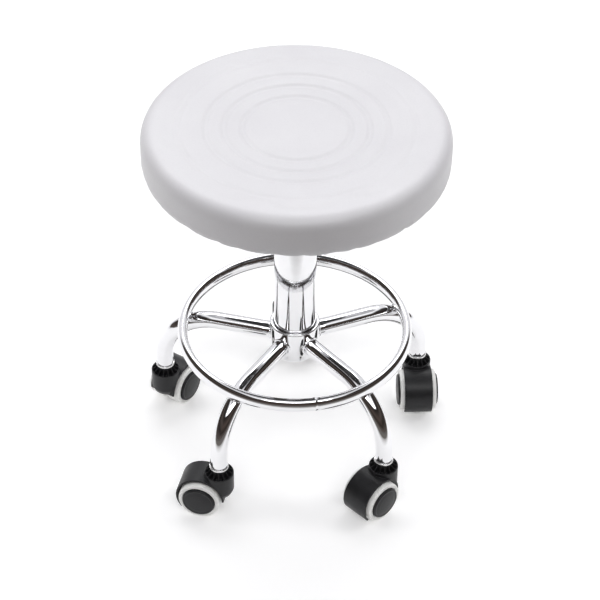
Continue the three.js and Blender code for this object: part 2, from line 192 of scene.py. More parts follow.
def grey(value, blue=0.0):
    return (value, value, value + blue, 1)


def chrome():
    """Polished plate over drawn tube: faint waves, wiping marks and a little haze."""
    m = Shading("chrome_plate", Metallic=1.0)
    haze = m.noise(22, 5)
    wipes = m.noise(160, 3, stretch=(1, 1, 0.15))
    color = m.mix(m.spread(haze, 0, 1), grey(0.80, 0.012), grey(0.88, 0.012))
    roughness = m.math("ADD", m.spread(haze, 0.02, 0.045), m.spread(wipes, 0, 0.02))
    waves = m.bump(m.noise(38, 2), 0.05, 0.002)
    pits = m.bump(m.noise(900, 2), 0.02, 0.0003, waves)
    return m.finish(color, roughness, pits)


def steel(name, low, high, roughness, blue=0.0):
    """Turned or zinc-plated steel with fine lines round it and a mottled surface."""
    m = Shading(name, Metallic=1.0)
    mottle = m.noise(180, 4)
    lines = m.noise(60, 3, stretch=(1, 1, 40))
    color = m.mix(m.spread(mottle, 0, 1), grey(low, blue), grey(high, blue))
    rough = m.spread(lines, roughness - 0.08, roughness + 0.1)
    return m.finish(color, rough, m.bump(lines, 0.12, 0.0003))


def paint():
    """Black powder coat with its orange peel."""
    m = Shading("black_powder_coat", Metallic=0.0)
    peel = m.noise(1400, 2)
    wear = m.noise(60, 6)
    color = m.mix(m.spread(wear, 0, 1), grey(0.016), grey(0.032))
    return m.finish(color, m.spread(wear, 0.34, 0.5), m.bump(peel, 0.35, 0.0004))


def nylon():
    """Moulded black nylon: satin, with a fine spark-eroded grain and dulled patches."""
    m = Shading("moulded_black_nylon", Metallic=0.0, Specular_IOR_Level=0.32)
    grain = m.noise(2600, 2)
    patches = m.noise(45, 5)
    dust = m.noise(260, 6, 0.7)
    base = m.mix(m.spread(patches, 0, 1), grey(0.010, 0.001), grey(0.017, 0.002))
    color = m.mix(m.spread(dust, 0, 0.25, 0.55, 0.8), base, grey(0.055))
    return m.finish(color, m.spread(patches, 0.33, 0.46), m.bump(grain, 0.22, 0.0002))


def tyre_white():
    """White polyurethane tread with faint scuffs and floor dust."""
    m = Shading("white_polyurethane", Metallic=0.0)
    scuffs = m.noise(120, 6, 0.65)
    grain = m.noise(1500, 3)
    color = m.mix(m.spread(scuffs, 0, 1, 0.35, 0.75), (0.93, 0.93, 0.915, 1), (0.80, 0.80, 0.775, 1))
    return m.finish(color, m.spread(scuffs, 0.36, 0.52), m.bump(grain, 0.12, 0.0002))


def moulded_white():
    """White nylon bush."""
    m = Shading("white_nylon_bush", Metallic=0.0)
    cloud = m.noise(90, 4)
    color = m.mix(m.spread(cloud, 0, 1), grey(0.66), grey(0.76))
    return m.finish(color, m.spread(cloud, 0.4, 0.55), m.bump(m.noise(1200, 2), 0.15, 0.0002))


def leather():
    """White PU leather: a pebbled grain of fine cells, with soft changes of tone."""
    m = Shading("white_pu_leather", Metallic=0.0, Coat_Weight=0.12, Coat_Roughness=0.3)
    tone = m.noise(9, 3)
    spots = m.noise(420, 4)
    base = m.mix(m.spread(tone, 0, 1), (0.665, 0.657, 0.682, 1), (0.705, 0.70, 0.72, 1))
    color = m.mix(m.spread(spots, 0, 0.18, 0.5, 0.8), base, (0.58, 0.57, 0.60, 1))
    warped = m.add("ShaderNodeVectorMath", {0: m.place, 1: m.place}, operation="ADD").outputs[0]
    cells = m.add("ShaderNodeTexVoronoi", {"Vector": warped, "Scale": 480}, feature="DISTANCE_TO_EDGE")
    pebbles = m.spread(cells.outputs["Distance"], 0, 1, 0.0, 0.25)
    creases = m.bump(m.noise(55, 5, 0.6), 0.1, 0.0012)
    grain = m.bump(pebbles, 0.16, 0.0003, creases)
    return m.finish(color, m.spread(spots, 0.36, 0.5), grain)


def plywood():
    """Beech plywood: long grain on the faces and plies on the edge."""
    m = Shading("beech_plywood", Metallic=0.0)
    grain = m.noise(60, 7, 0.6, stretch=(1, 14, 1))
    inputs = {"Vector": m.place, "Scale": 210, "Distortion": 0.6}
    wave = m.add("ShaderNodeTexWave", inputs, bands_direction="Z")
    face = m.mix(m.spread(grain, 0, 1), (0.36, 0.22, 0.11, 1), (0.60, 0.42, 0.24, 1))
    color = m.mix(m.spread(wave.outputs["Fac"], 0, 0.35, 0.4, 0.6), face, (0.24, 0.14, 0.07, 1))
    return m.finish(color, m.spread(grain, 0.6, 0.8), m.bump(grain, 0.3, 0.0004))


def dust_cloth():
    """Black spun-bonded cloth with its dimpled bond points."""
    m = Shading("black_dust_cloth", Metallic=0.0)
    dimples = m.add("ShaderNodeTexVoronoi", {"Vector": m.place, "Scale": 620}, feature="F1")
    fibres = m.noise(900, 5, 0.7, stretch=(1, 5, 1))
    color = m.mix(m.spread(fibres, 0, 1), grey(0.010), grey(0.034))
    height = m.spread(dimples.outputs["Distance"], 0, 1, 0.1, 0.6)
    return m.finish(color, m.spread(fibres, 0.75, 0.92), m.bump(height, 0.5, 0.0005))


CHROME = chrome()
BRIGHT = steel("bright_turned_steel", 0.70, 0.84, 0.2)
ZINC = steel("zinc_plated_steel", 0.46, 0.58, 0.36, 0.02)
PAINT = paint()
NYLON = nylon()
TYRE_WHITE = tyre_white()
WHITE_NYLON = moulded_white()
LEATHER = leather()
PLYWOOD = plywood()
DUST_CLOTH = dust_cloth()


# ---- Mesh building ----


def metres(point):
    return Vector(point) * MM


def polar(radius, angle, height=0):
    return (radius * math.cos(angle), radius * math.sin(angle), height)


def turns(count):
    """Equal steps round a circle, in radians."""
    return [2 * math.pi * i / count for i in range(count)]


def hump(offset, width):
    """A soft bump of height 1, for swellings, grooves and tucks."""
    return math.exp(-((offset / width) ** 2))


def placed(name, vertices, faces, material, sharp=35):
    """A new object from millimetre vertices, smooth except over edges sharper than `sharp` degrees."""
    mesh = bpy.data.meshes.new(name)
    mesh.from_pydata([metres(v) for v in vertices], [], faces)
    return finished(name, mesh, material, sharp)


def smooth(mesh, sharp=35):
    mesh.shade_smooth()
    mesh.set_sharp_from_angle(angle=math.radians(sharp))


def finished(name, mesh, material, sharp):
    mesh.validate()
    mesh.materials.clear()
    mesh.materials.append(material)
    outward = bmesh.new()
    outward.from_mesh(mesh)
    bmesh.ops.recalc_face_normals(outward, faces=outward.faces)
    outward.to_mesh(mesh)
    outward.free()
    smooth(mesh, sharp)
    return in_scene(name, mesh)


def in_scene(name, data):
    made = bpy.data.objects.new(name, data)
    bpy.context.scene.collection.objects.link(made)
    return made


def rounded(outline, radius, steps=4):
    """The outline with its inner corners eased: each becomes a short curve of `steps` segments."""
    points = [Vector(p) for p in outline]
    eased = [points[0]]
    for before, corner, after in zip(points, points[1:], points[2:]):
        back = before - corner
        ahead = after - corner
        reach = min(radius, back.length * 0.45, ahead.length * 0.45)
        start = corner + back.normalized() * reach
        end = corner + ahead.normalized() * reach
        for i in range(steps + 1):
            t = i / steps
            eased.append(start * (1 - t) ** 2 + corner * 2 * t * (1 - t) + end * t * t)
    return eased + [points[-1]]


def band(low, high, count):
    """The faces between two closed rows of `count` vertices, whose first vertices are given."""
    following = [*range(1, count), 0]
    return [[low + i, low + j, high + j, high + i] for i, j in enumerate(following)]


def turned_shape(outline, segments):
    """Vertices and faces of an outline of (radius, height) points turned about Z."""
    vertices = []
    rows = []
    for radius, height in outline:
        count = segments if radius > 1e-6 else 1
        rows.append((len(vertices), count))
        vertices += [polar(radius, angle, height) for angle in turns(segments)[:count]]
    faces = []
    for (first, first_count), (second, second_count) in zip(rows, rows[1:]):
        if first_count == 1 and second_count == 1:
            continue
        for i in range(segments):
            j = (i + 1) % segments
            face = [first + i % first_count, first + j % first_count]
            face += [second + j % second_count, second + i % second_count]
            faces.append(list(dict.fromkeys(face)))
    return vertices, faces


def ring_shape(outline, segments):
    """The same for an outline that ends where it starts, away from the axis."""
    vertices, faces = turned_shape(outline[:-1], segments)
    return vertices, faces + band(len(vertices) - segments, 0, segments)


def turned(name, outline, material, segments=ROUND, ease=0.6, loop=False):
    """A solid of revolution. A loop's outline returns to its start, and any other ends on the axis."""
    points = [Vector(p) for p in outline]
    if not loop:
        return placed(name, *turned_shape(rounded(points, ease), segments), material)
    middle = (points[0] + points[1]) / 2  # start in the middle of a side, so that every corner is eased
    points = [middle, *points[1:], points[0], middle]
    return placed(name, *ring_shape(rounded(points, ease), segments), material)


def swept_shape(line, radius, sides, closed=False):
    """A round bar along a line of points; radius is a number, or a function of the point's index."""
    points = [Vector(p) for p in line]
    count = len(points)
    vertices = []
    normal = None
    for i, point in enumerate(points):
        if closed:
            tangent = points[(i + 1) % count] - points[i - 1]
        else:
            tangent = points[min(i + 1, count - 1)] - points[max(i - 1, 0)]
        tangent.normalize()
        if normal is None:
            normal = tangent.orthogonal()
        normal = (normal - tangent * normal.dot(tangent)).normalized()
        across = tangent.cross(normal)
        size = radius(i) if callable(radius) else radius
        for angle in turns(sides):
            vertices.append(point + (normal * math.cos(angle) + across * math.sin(angle)) * size)
    faces = []
    for i in range(count if closed else count - 1):
        faces += band(i * sides, (i + 1) % count * sides, sides)
    if not closed:
        faces.append(list(range(sides)))
        faces.append([(count - 1) * sides + k for k in range(sides)])
    return vertices, faces


BOX_FACES = [(0, 1, 3, 2), (4, 6, 7, 5), (0, 4, 5, 1), (2, 3, 7, 6), (0, 2, 6, 4), (1, 5, 7, 3)]


def block_shape(low, high):
    return list(product(*zip(low, high))), BOX_FACES


def together(shapes):
    """Several (vertices, faces) shapes as one."""
    vertices = []
    faces = []
    for part_vertices, part_faces in shapes:
        start = len(vertices)
        vertices += part_vertices
        faces += [[start + i for i in face] for face in part_faces]
    return vertices, faces


def moved(shape, matrix):
    vertices, faces = shape
    return [matrix @ Vector(v) for v in vertices], faces


def modified(made, kind, **settings):
    """The object with one modifier applied to its mesh."""
    modifier = made.modifiers.new(kind, kind)
    for key, value in settings.items():
        setattr(modifier, key, value)
    depsgraph = bpy.context.evaluated_depsgraph_get()
    mesh = bpy.data.meshes.new_from_object(made.evaluated_get(depsgraph))
    made.modifiers.clear()
    old = made.data
    made.data = mesh
    bpy.data.meshes.remove(old)
    return made


def discard(made):
    mesh = made.data
    bpy.data.objects.remove(made)
    bpy.data.meshes.remove(mesh)


def combined(made, other, operation):
    """The first object with the second added or cut away. The second is used up."""
    modified(made, "BOOLEAN", object=other, operation=operation, solver="EXACT")
    discard(other)


def belongs(piece, body, slot, *nodes):
    """The piece moves with a body and stands for the CAD nodes given, which are hidden. The slot is not used.
    """
    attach(piece, body)
    if nodes:
        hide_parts(*nodes)
    return piece


def spun(angle, x=0, y=0, z=0):
    """A turn about Z followed by a move."""
    return Matrix.Translation((x, y, z)) @ Matrix.Rotation(angle, 4, "Z")


# ---- Base ----


def leg_angle(number):
    return math.pi / 2 + (number - 1) * 2 * math.pi / 5


def leg_line():
    """The centre line of a leg that runs out along +X: straight, round a quarter bend, and down."""
    start_x = HUB_RADIUS - 1.5
    bend_steps = 28
    line = [(start_x + (BEND_X - start_x) * i / 6, 0, LEG_AXIS_Z) for i in range(6)]
    for i in range(bend_steps + 1):
        angle = i / bend_steps * math.pi / 2
        line.append((BEND_X + LEG_BEND * math.sin(angle), 0, BEND_Z + LEG_BEND * math.cos(angle)))
    return line + [(LEG_REACH, 0, BEND_Z + (LEG_END_Z - BEND_Z) * i / 3) for i in range(1, 4)]


def leg_gap(point):
    """How far a point lies outside the surface of the leg that runs along +X."""
    if point.x <= BEND_X:
        return math.hypot(point.y, point.z - LEG_AXIS_Z) - LEG_RADIUS
    if point.z <= BEND_Z:
        return math.hypot(point.y, point.x - LEG_REACH) - LEG_RADIUS
    around = math.hypot(point.x - BEND_X, point.z - BEND_Z) - LEG_BEND
    return math.hypot(point.y, around) - LEG_RADIUS


def hub_gap(point):
    return math.hypot(point.x, point.y) - HUB_RADIUS


def ring_gap(point):
    """How far a point lies outside the oval foot ring, near enough for small distances."""
    across = (math.hypot(point.x, point.y) - RING_RADIUS) / RING_HALF_WIDTH
    up = (point.z - RING_Z) / RING_HALF_HEIGHT
    return (math.hypot(across, up) - 1) * RING_HALF_WIDTH


def onto(point, *gaps):
    """Moves a point to the line where the surfaces of the given gap functions meet."""
    point = Vector(point)
    step = 0.01
    for _ in range(30):
        for gap in gaps:
            here = gap(point)
            slope = Vector([gap(point + axis * step) - here for axis in Matrix.Identity(3)]) / step
            point -= slope * here / max(slope.length_squared, 1e-6)
    return point


def bead(line, size, seed, closed=False):
    """A weld bead: a small bar along a seam with the ripples of the weld pool."""
    rng = random.Random(seed)
    phase = rng.uniform(0, 6)
    count = len(line)

    def radius(i):
        ripple = 1 + 0.10 * math.sin(i * 1.9 + phase) + 0.06 * math.sin(i * 0.7 + phase)
        end = 1 if closed else min(1, (i + 0.4) / 3, (count - 0.6 - i) / 3)
        return size * ripple * max(end, 0.15)

    return swept_shape(line, radius, 10, closed)


def welds():
    """The beads of the leg along +X: round its joint with the hub, and on both sides of the foot ring."""
    saddle = []
    for angle in turns(64):
        guess = (HUB_RADIUS, LEG_RADIUS * math.sin(angle), LEG_AXIS_Z + LEG_RADIUS * math.cos(angle))
        saddle.append(onto(guess, leg_gap, hub_gap))
    seams = []
    for side, height in ((-RING_HALF_WIDTH, 153), (RING_HALF_WIDTH, 150)):
        guesses = [(RING_RADIUS + side, i * 0.72, height) for i in range(-11, 12)]
        seams.append([onto(guess, leg_gap, ring_gap) for guess in guesses])
    return saddle, seams


def legs():
    saddle, seams = welds()
    for number in NUMBERS:
        turn = spun(leg_angle(number))
        line = [turn @ Vector(p) for p in leg_line()]
        leg = placed(f"chrome_leg_{number}", *swept_shape(line, LEG_RADIUS, FINE_ROUND), CHROME)
        modified(leg, "BEVEL", width=0.5 * MM, segments=2, limit_method="ANGLE")
        smooth(leg.data)
        belongs(leg, "base", "chrome", f"leg_{number}")
        beads = [bead(saddle, 1.5, number, closed=True)]
        beads += [bead(seam, 1.2, number + 10) for seam in seams]
        bead_piece = placed(f"welds_{number}", *moved(together(beads), turn), CHROME)
        belongs(bead_piece, "base", "chrome")


def foot_ring():
    """A closed oval tube, with the ground-down swelling of its one butt weld."""
    section = 36
    coarse_steps = 216  # round the ring, and finer ones at the weld
    fine_steps = 12
    fine = 0.75
    weld_half = fine_steps * fine
    rest = 2 * math.pi * RING_RADIUS - 2 * weld_half
    distances = [i * fine for i in range(-fine_steps, fine_steps + 1)]
    distances += [weld_half + rest * i / coarse_steps for i in range(1, coarse_steps)]
    vertices = []
    faces = []
    for i, distance in enumerate(distances):
        angle = math.radians(RING_SEAM_ANGLE) + distance / RING_RADIUS
        swell = 0.5 * hump(distance, 1.8) - 0.25 * hump(distance - 3.6, 1.3)
        for turn in turns(section):
            radius = RING_RADIUS + (RING_HALF_WIDTH + swell) * math.cos(turn)
            vertices.append(polar(radius, angle, RING_Z + (RING_HALF_HEIGHT + swell) * math.sin(turn)))
        faces += band(i * section, (i + 1) % len(distances) * section, section)
    ring = placed("chrome_foot_ring", vertices, faces, CHROME)
    belongs(ring, "base", "chrome", "foot_ring")


def hub():
    bore = COLUMN_RADIUS + GAP
    outline = [(bore, HUB_BOTTOM), (HUB_RADIUS, HUB_BOTTOM), (HUB_RADIUS, HUB_TOP), (bore, HUB_TOP)]
    belongs(turned("chrome_hub", outline, CHROME, ease=2.2, loop=True), "base", "chrome", "hub_sleeve")


def sockets():
    """Bright flanged sockets in the legs' ends."""
    shank = 7.6
    flange_top = LEG_END_Z - GAP
    for number in NUMBERS:
        node = f"caster_socket_{number}"
        low, high = heights(node)
        outline = [(STEM_BORE, low), (SOCKET_RADIUS, low), (SOCKET_RADIUS, flange_top)]
        outline += [(shank, flange_top), (shank, high), (STEM_BORE, high)]
        socket = turned(f"socket_{number}", outline, BRIGHT, FINE_ROUND, ease=0.9, loop=True)
        socket.data.transform(Matrix.Translation(metres(polar(LEG_REACH, leg_angle(number)))))
        belongs(socket, "base", "bright_steel", node)


# ---- Gas lift ----


def column():
    """The chromed tube, with a floor that the piston rod stands through."""
    outline = [
        (ROD_BORE, COLUMN_BOTTOM), (COLUMN_RADIUS - 3, COLUMN_BOTTOM),
        (COLUMN_RADIUS, COLUMN_BOTTOM + 3), (COLUMN_RADIUS, COLUMN_TOP),
        (COLUMN_BORE, COLUMN_TOP), (COLUMN_BORE, FLOOR_TOP), (ROD_BORE, FLOOR_TOP),
    ]
    piece = turned("chrome_column", outline, CHROME, ease=1.6, loop=True)
    belongs(piece, "base", "chrome", "column_tube")


def guide():
    """The plastic sleeve in the column, with a collar over the column's rim."""
    bore = CYLINDER_RADIUS + GAP
    low, high = heights("guide_sleeve")
    outline = [
        (bore, low), (COLUMN_BORE - GAP, low), (COLUMN_BORE - GAP, COLUMN_TOP + GAP),
        (COLUMN_RADIUS, COLUMN_TOP + GAP), (COLUMN_RADIUS, COLUMN_TOP + 3),
        (COLUMN_RADIUS - 2, high), (bore, high),
    ]
    piece = turned("guide_collar", outline, WHITE_NYLON, ease=0.9, loop=True)
    belongs(piece, "base", "white_nylon", "guide_sleeve")


def rod_and_clip():
    """The rod with its shoulder, its piston, and the groove that holds the clip."""
    low, high = heights("base_clip")
    outline = [(ROD_BORE, low), (9, low), (9, high), (ROD_BORE, high)]
    piece = turned("retaining_clip", outline, ZINC, FINE_ROUND, ease=0.5, loop=True)
    belongs(piece, "base", "zinc_steel", "base_clip")

    low, high = heights("piston_rod")
    bearing = 8
    shoulder = FLOOR_TOP + bearing + GAP * 2
    groove = 3.3
    thick = 5
    piston = 11.7
    piston_bottom = high - 12
    outline = [
        (0, low), (ROD_RADIUS, low), (ROD_RADIUS, low + 2.2), (groove, low + 2.6),
        (groove, low + 3.8), (ROD_RADIUS, low + 4.2), (ROD_RADIUS, shoulder), (thick, shoulder),
        (thick, piston_bottom), (piston, piston_bottom), (piston, high), (0, high),
    ]
    piece = turned("polished_rod", outline, BRIGHT, FINE_ROUND, ease=0.4)
    belongs(piece, "rod", "zinc_steel", "piston_rod")


def cylinder_and_pin():
    """The gas cylinder, open inside for the piston, and the release pin in its tapered top."""
    inner_radius = 12.2
    inner_bottom = CYLINDER_BOTTOM + 8
    inner_top = CYLINDER_TOP - 22
    rod_hole = 5 + GAP
    pin_hole = 4 + GAP
    pin_floor = CYLINDER_TOP - 13
    outline = [
        (0, inner_top), (inner_radius, inner_top), (inner_radius, inner_bottom),
        (rod_hole, inner_bottom), (rod_hole, CYLINDER_BOTTOM),
        (CYLINDER_RADIUS, CYLINDER_BOTTOM), (CYLINDER_RADIUS, TAPER_BOTTOM),
        (13.3, CYLINDER_TOP), (pin_hole, CYLINDER_TOP), (pin_hole, pin_floor), (0, pin_floor),
    ]
    piece = turned("chrome_cylinder", outline, CHROME, ease=0.8)
    belongs(piece, "seat", "chrome", "gas_cylinder")

    low, high = heights("release_pin")
    piece = turned("valve_pin", [(0, low), (4, low), (4, high), (0, high)], BRIGHT, FINE_ROUND, ease=0.8)
    belongs(piece, "pin", "zinc_steel", "release_pin")


# ---- Seat ----

EMBOSSED_RINGS = ((60.6, 0.85), (81.8, 0.85), (102.5, 0.8), (133.2, 0.5))  # radius and depth
EDGE = 18  # radius of the pad's rounded edges
DISH = 4
PLEATS = 31
CLOTH_RADIUS = 143  # of the dust cloth, which covers the cover's stapled edge


def ring_groove(radius):
    """Depth of the circles pressed into the top: each is a soft channel with a faint raised lip."""
    depth = 0
    for ring, ring_depth in EMBOSSED_RINGS:
        offset = radius - ring
        depth += ring_depth * (hump(offset, 2.6) - 0.24 * hump(abs(offset) - 5.4, 2.2))
    return depth


def dish_height(radius):
    """The top's height: level in the middle, with a slow rise to the rim."""
    level = 50
    t = min(max((radius - level) / (SEAT_RADIUS - EDGE - level), 0), 1)
    return SEAT_TOP - DISH * (1 - t * t * (3 - 2 * t))


def pad_outline():
    """Points of the pad's outside with their outward directions, from the fold below to the middle."""
    middle = SEAT_RADIUS - EDGE
    rows = [((FOLD_RADIUS + (middle - FOLD_RADIUS) * i / 9, SEAT_BOTTOM), (0, -1)) for i in range(9)]
    power = 2 / 2.25  # a superellipse, a little fuller than a round edge
    for bottom, start in ((SEAT_BOTTOM + EDGE, -90), (SEAT_TOP - EDGE, 0)):
        for i in range(15):
            angle = math.radians(start + 90 * i / 14)
            out, up = math.cos(angle), math.sin(angle)
            full_out = math.copysign(abs(out) ** power, out)
            full_up = math.copysign(abs(up) ** power, up)
            rows.append(((middle + EDGE * full_out, bottom + EDGE * full_up), (out, up)))
        if start == -90:
            side = SEAT_TOP - EDGE - bottom
            rows += [((SEAT_RADIUS, bottom + side * i / 5), (1, 0)) for i in range(1, 5)]
    radius = middle - 3.0
    while radius > 2:
        rows.append(((radius, dish_height(radius)), (0, 1)))
        near = min(abs(radius - ring) for ring, _ in EMBOSSED_RINGS)
        radius -= 0.75 if near < 7 else 4.0
    return rows


def pad_body():
    """The plain closed pad that is blown up as cloth, a little inside its final size."""
    inset = 2.5
    rows = [(radius - out * inset, height - up * inset) for (radius, height), (out, up) in pad_outline()]
    outline = [(0, BOARD_BOTTOM + inset), *rows, (0, SEAT_TOP - DISH - inset)]
    return placed("pad_body", *turned_shape(outline, 96), LEATHER)


def puffed_pad():
    """The cover as cloth round the foam: blown up, held where it is stapled under the board."""
    body = modified(pad_body(), "REMESH", mode="VOXEL", voxel_size=6 * MM)
    held = body.vertex_groups.new(name="stapled")
    held_below = (SEAT_BOTTOM + 7) * MM
    held.add([v.index for v in body.data.vertices if v.co.z < held_below], 1.0, "REPLACE")
    start = [v.co.copy() for v in body.data.vertices]
    cloth = body.modifiers.new("cloth", "CLOTH")
    settings = cloth.settings
    settings.quality = 6
    settings.mass = 0.25
    settings.tension_stiffness = 25
    settings.compression_stiffness = 25
    settings.bending_stiffness = 4
    settings.use_pressure = True
    settings.uniform_pressure_force = 4
    settings.vertex_group_mass = "stapled"
    settings.effector_weights.gravity = 0
    frames = 20
    cloth.point_cache.frame_start = 1
    cloth.point_cache.frame_end = frames
    scene = bpy.context.scene
    for number in range(1, frames + 1):
        scene.frame_set(number)
    depsgraph = bpy.context.evaluated_depsgraph_get()
    blown = bpy.data.meshes.new_from_object(body.evaluated_get(depsgraph))
    furthest = 6 * MM
    points = []
    for vertex, origin in zip(blown.vertices, start):
        move = vertex.co - origin
        if move.length > furthest:
            move = move.normalized() * furthest
        points.append(origin + move)
    tree = BVHTree.FromPolygons(points, [list(p.vertices) for p in blown.polygons])
    scene.frame_set(1)
    discard(body)
    return tree


def tuck_list():
    """The gathers where the cover is drawn under the board: uneven tucks, as angle, width and depth."""
    rng = random.Random(7)
    tucks = []
    for i in range(PLEATS):
        centre = 2 * math.pi * (i + rng.uniform(-0.45, 0.45)) / PLEATS
        tucks.append((centre, rng.uniform(0.02, 0.055), rng.uniform(0.3, 1.7)))
    return tucks


def pleats(angle, tucks):
    """How deep the cover is drawn in by the tucks at an angle."""
    total = 0
    for centre, width, depth in tucks:
        offset = (angle - centre + math.pi) % (2 * math.pi) - math.pi
        total += depth * hump(offset, width)
    return total


def blown_out(tree, radius, height, out, up, angle):
    """How far the blown-up cover lies outside a point of the plain pad's surface."""
    depth = 12
    away = Vector(polar(out, angle, up))
    inside = Vector(polar(radius, angle, height)) - away * depth
    hit = tree.ray_cast(metres(inside), away, 0.04)
    return 0.0 if hit[0] is None else hit[3] / MM - depth


def seat_pad():
    """The upholstered pad: its cover is a closed skin round the foam, with the board's recess below."""
    tree = puffed_pad()
    segments = 320
    angles = turns(segments)
    tucks = tuck_list()
    rows = pad_outline()
    swell_rows = []
    for place, direction in rows:
        swell_rows.append([blown_out(tree, *place, *direction, a) if tree else 0.0 for a in angles])
    level = max(max(s) for s in swell_rows)
    tucked_below = SEAT_BOTTOM + 26
    vertices = []
    for ((radius, height), (out, up)), swells in zip(rows, swell_rows):
        for i, angle in enumerate(angles):
            even = sum(swells[(i + k) % segments] for k in range(-4, 5)) / 9
            swell = max(even - level, -3.0) * 0.35
            if up > 0.2:
                swell -= ring_groove(radius) * up
            if height < tucked_below:
                fade = min(1, (tucked_below - height) / 20)
                swell -= pleats(angle, tucks) * fade * (0.35 + 0.65 * max(-up, 0))
            vertices.append(polar(radius + out * swell, angle, max(height + up * swell, SEAT_BOTTOM)))
    recess = BOARD_RADIUS + 0.4
    recess_low = BOARD_BOTTOM - 0.2
    recess_top = BOARD_TOP + GAP
    for radius, height in ((FOLD_RADIUS, recess_low), (recess, recess_low), (recess, recess_top)):
        vertices += [polar(radius, angle, height) for angle in angles]
    top_centre = len(vertices)
    vertices += [(0, 0, dish_height(0)), (0, 0, recess_top)]
    faces = []
    count = len(rows)
    order = [*range(count - 1, -1, -1), *range(count, count + 3)]
    for first, second in zip(order, order[1:]):
        faces += band(first * segments, second * segments, segments)
    for row, centre in ((count - 1, top_centre), (count + 2, top_centre + 1)):
        faces += [[row * segments + i, row * segments + (i + 1) % segments, centre] for i in range(segments)]
    pad = placed("seat_pad", vertices, faces, LEATHER, sharp=60)
    belongs(pad, "seat", "white_leather", "seat_cover", "seat_foam")


def dust_cover():
    """The black cloth over the board and the cover's stapled edge."""
    upper = BOARD_BOTTOM - 0.08
    lower = SEAT_BOTTOM - 0.08
    rows = [(r, upper) for r in (0, 30, 60, 85, 100, 110, 117)]
    rows += [(118.4, upper - 0.4), (120.6, lower + 0.3)]
    rows += [(r, lower) for r in (122.5, 128, 134, CLOTH_RADIUS)]
    thickness = 0.18
    outline = rows + [(r, z - thickness) for r, z in reversed(rows)]
    cloth = placed("dust_cover_cloth", *turned_shape(outline, FINE_ROUND * 2), DUST_CLOTH)
    belongs(cloth, "seat", "grip_plastic")


def staples(rng):
    """The staples through the cloth's edge: each shows its crown and goes up into the seat."""
    crown = swept_shape([(0, -5, 1.2), (0, -5, -0.6), (0, 5, -0.6), (0, 5, 1.2)], 0.42, 8)
    count = 30
    shapes = []
    for i in range(count):
        angle = 2 * math.pi * (i + rng.uniform(-0.15, 0.15)) / count
        radius = CLOTH_RADIUS - 5 + rng.uniform(-1.5, 1.5)
        shapes.append(moved(crown, spun(angle) @ spun(rng.uniform(-0.3, 0.3), radius, 0, SEAT_BOTTOM)))
    belongs(placed("cover_staples", *together(shapes), ZINC), "seat", "zinc_steel")


def plate_screws(rng):
    """Pan-head screws with a cross recess, one near each corner of the plate."""
    head = turned_shape(rounded([(0, -2.6), (3, -2.6), (5.6, -1.2), (6, 0), (6, 0.2), (0, 0.2)], 0.5, 3), 24)
    recess = block_shape((-3.2, -0.5, -2.75), (3.2, 0.5, -2.3))
    across = 56
    shapes = []
    for x, y in product((-across, across), repeat=2):
        place = spun(0, x, y, PLATE_BOTTOM)
        turn = rng.uniform(0, math.pi)
        shapes += [moved(head, place), moved(recess, place @ spun(turn))]
        shapes.append(moved(recess, place @ spun(turn + math.pi / 2)))
    belongs(placed("plate_screws", *together(shapes), ZINC), "seat", "zinc_steel")


def underside():
    rng = random.Random(21)
    dust_cover()
    staples(rng)
    belongs(mounting_plate(), "seat", "black_paint", "mount_plate")
    plate_screws(rng)


def plate_outline(half, corner):
    """A square with round corners."""
    steps = 8
    points = []
    for quarter, (sx, sy) in enumerate(((1, 1), (-1, 1), (-1, -1), (1, -1))):
        for i in range(steps + 1):
            x, y, _ = polar(corner, math.radians(90 * quarter + 90 * i / steps))
            points.append((sx * (half - corner) + x, sy * (half - corner) + y))
    return points


def pressed_plate():
    """The flat plate with its eased edges."""
    ease = 0.7
    corner = 12
    top = PLATE_BOTTOM + PLATE_THICKNESS
    layers = [(ease, PLATE_BOTTOM), (ease * 0.3, PLATE_BOTTOM + ease * 0.3), (0, PLATE_BOTTOM + ease)]
    layers += [(inset, top - (z - PLATE_BOTTOM)) for inset, z in reversed(layers)]
    vertices = []
    for inset, z in layers:
        vertices += [(x, y, z) for x, y in plate_outline(PLATE_HALF - inset, corner - inset)]
    count = len(vertices) // len(layers)
    faces = []
    for layer in range(len(layers) - 1):
        faces += band(layer * count, (layer + 1) * count, count)
    faces.append(list(range(count)))
    faces.append(list(range(len(vertices) - count, len(vertices))))
    return placed("seat_plate", vertices, faces, PAINT)


def plate_boss():
    """The tapered boss that stands on the gas cylinder, slotted for the lever."""
    overlap = PLATE_BOTTOM + 0.5
    boss = [
        (CYLINDER_RADIUS + GAP, TAPER_BOTTOM), (21, TAPER_BOTTOM), (21, PLATE_BOTTOM - 3),
        (24, overlap), (13.6, overlap), (13.6, CYLINDER_TOP + GAP),
    ]
    piece = placed("boss", *ring_shape(rounded(boss + [boss[0]], 1.0), ROUND), PAINT)
    slot = block_shape((5, -5.2, LEVER_Z - 5.5), (30, 5.2, PLATE_BOTTOM - 0.3))
    combined(piece, placed("slot_cutter", *slot, PAINT), "DIFFERENCE")
    return piece


def plate_ears():
    """The two ears that hold the lever's pivot pin."""
    ears = []
    for inner, outer in ((-8.5, -5.5), (5.5, 8.5)):
        low = (LEVER_PIVOT_X - 7, inner, LEVER_Z - 6)
        ears.append(block_shape(low, (LEVER_PIVOT_X + 7, outer, PLATE_BOTTOM + 0.5)))
    return modified(placed("ears", *together(ears), PAINT), "BEVEL", width=1.0 * MM, segments=3)


def mounting_plate():
    plate = join_meshes(pressed_plate(), plate_boss(), plate_ears())
    smooth(plate.data)
    return plate


def join_meshes(first, *others):
    """The other objects' meshes added to the first object's."""
    merged = bmesh.new()
    merged.from_mesh(first.data)
    for other in others:
        merged.from_mesh(other.data)
        discard(other)
    merged.to_mesh(first.data)
    merged.free()
    return first


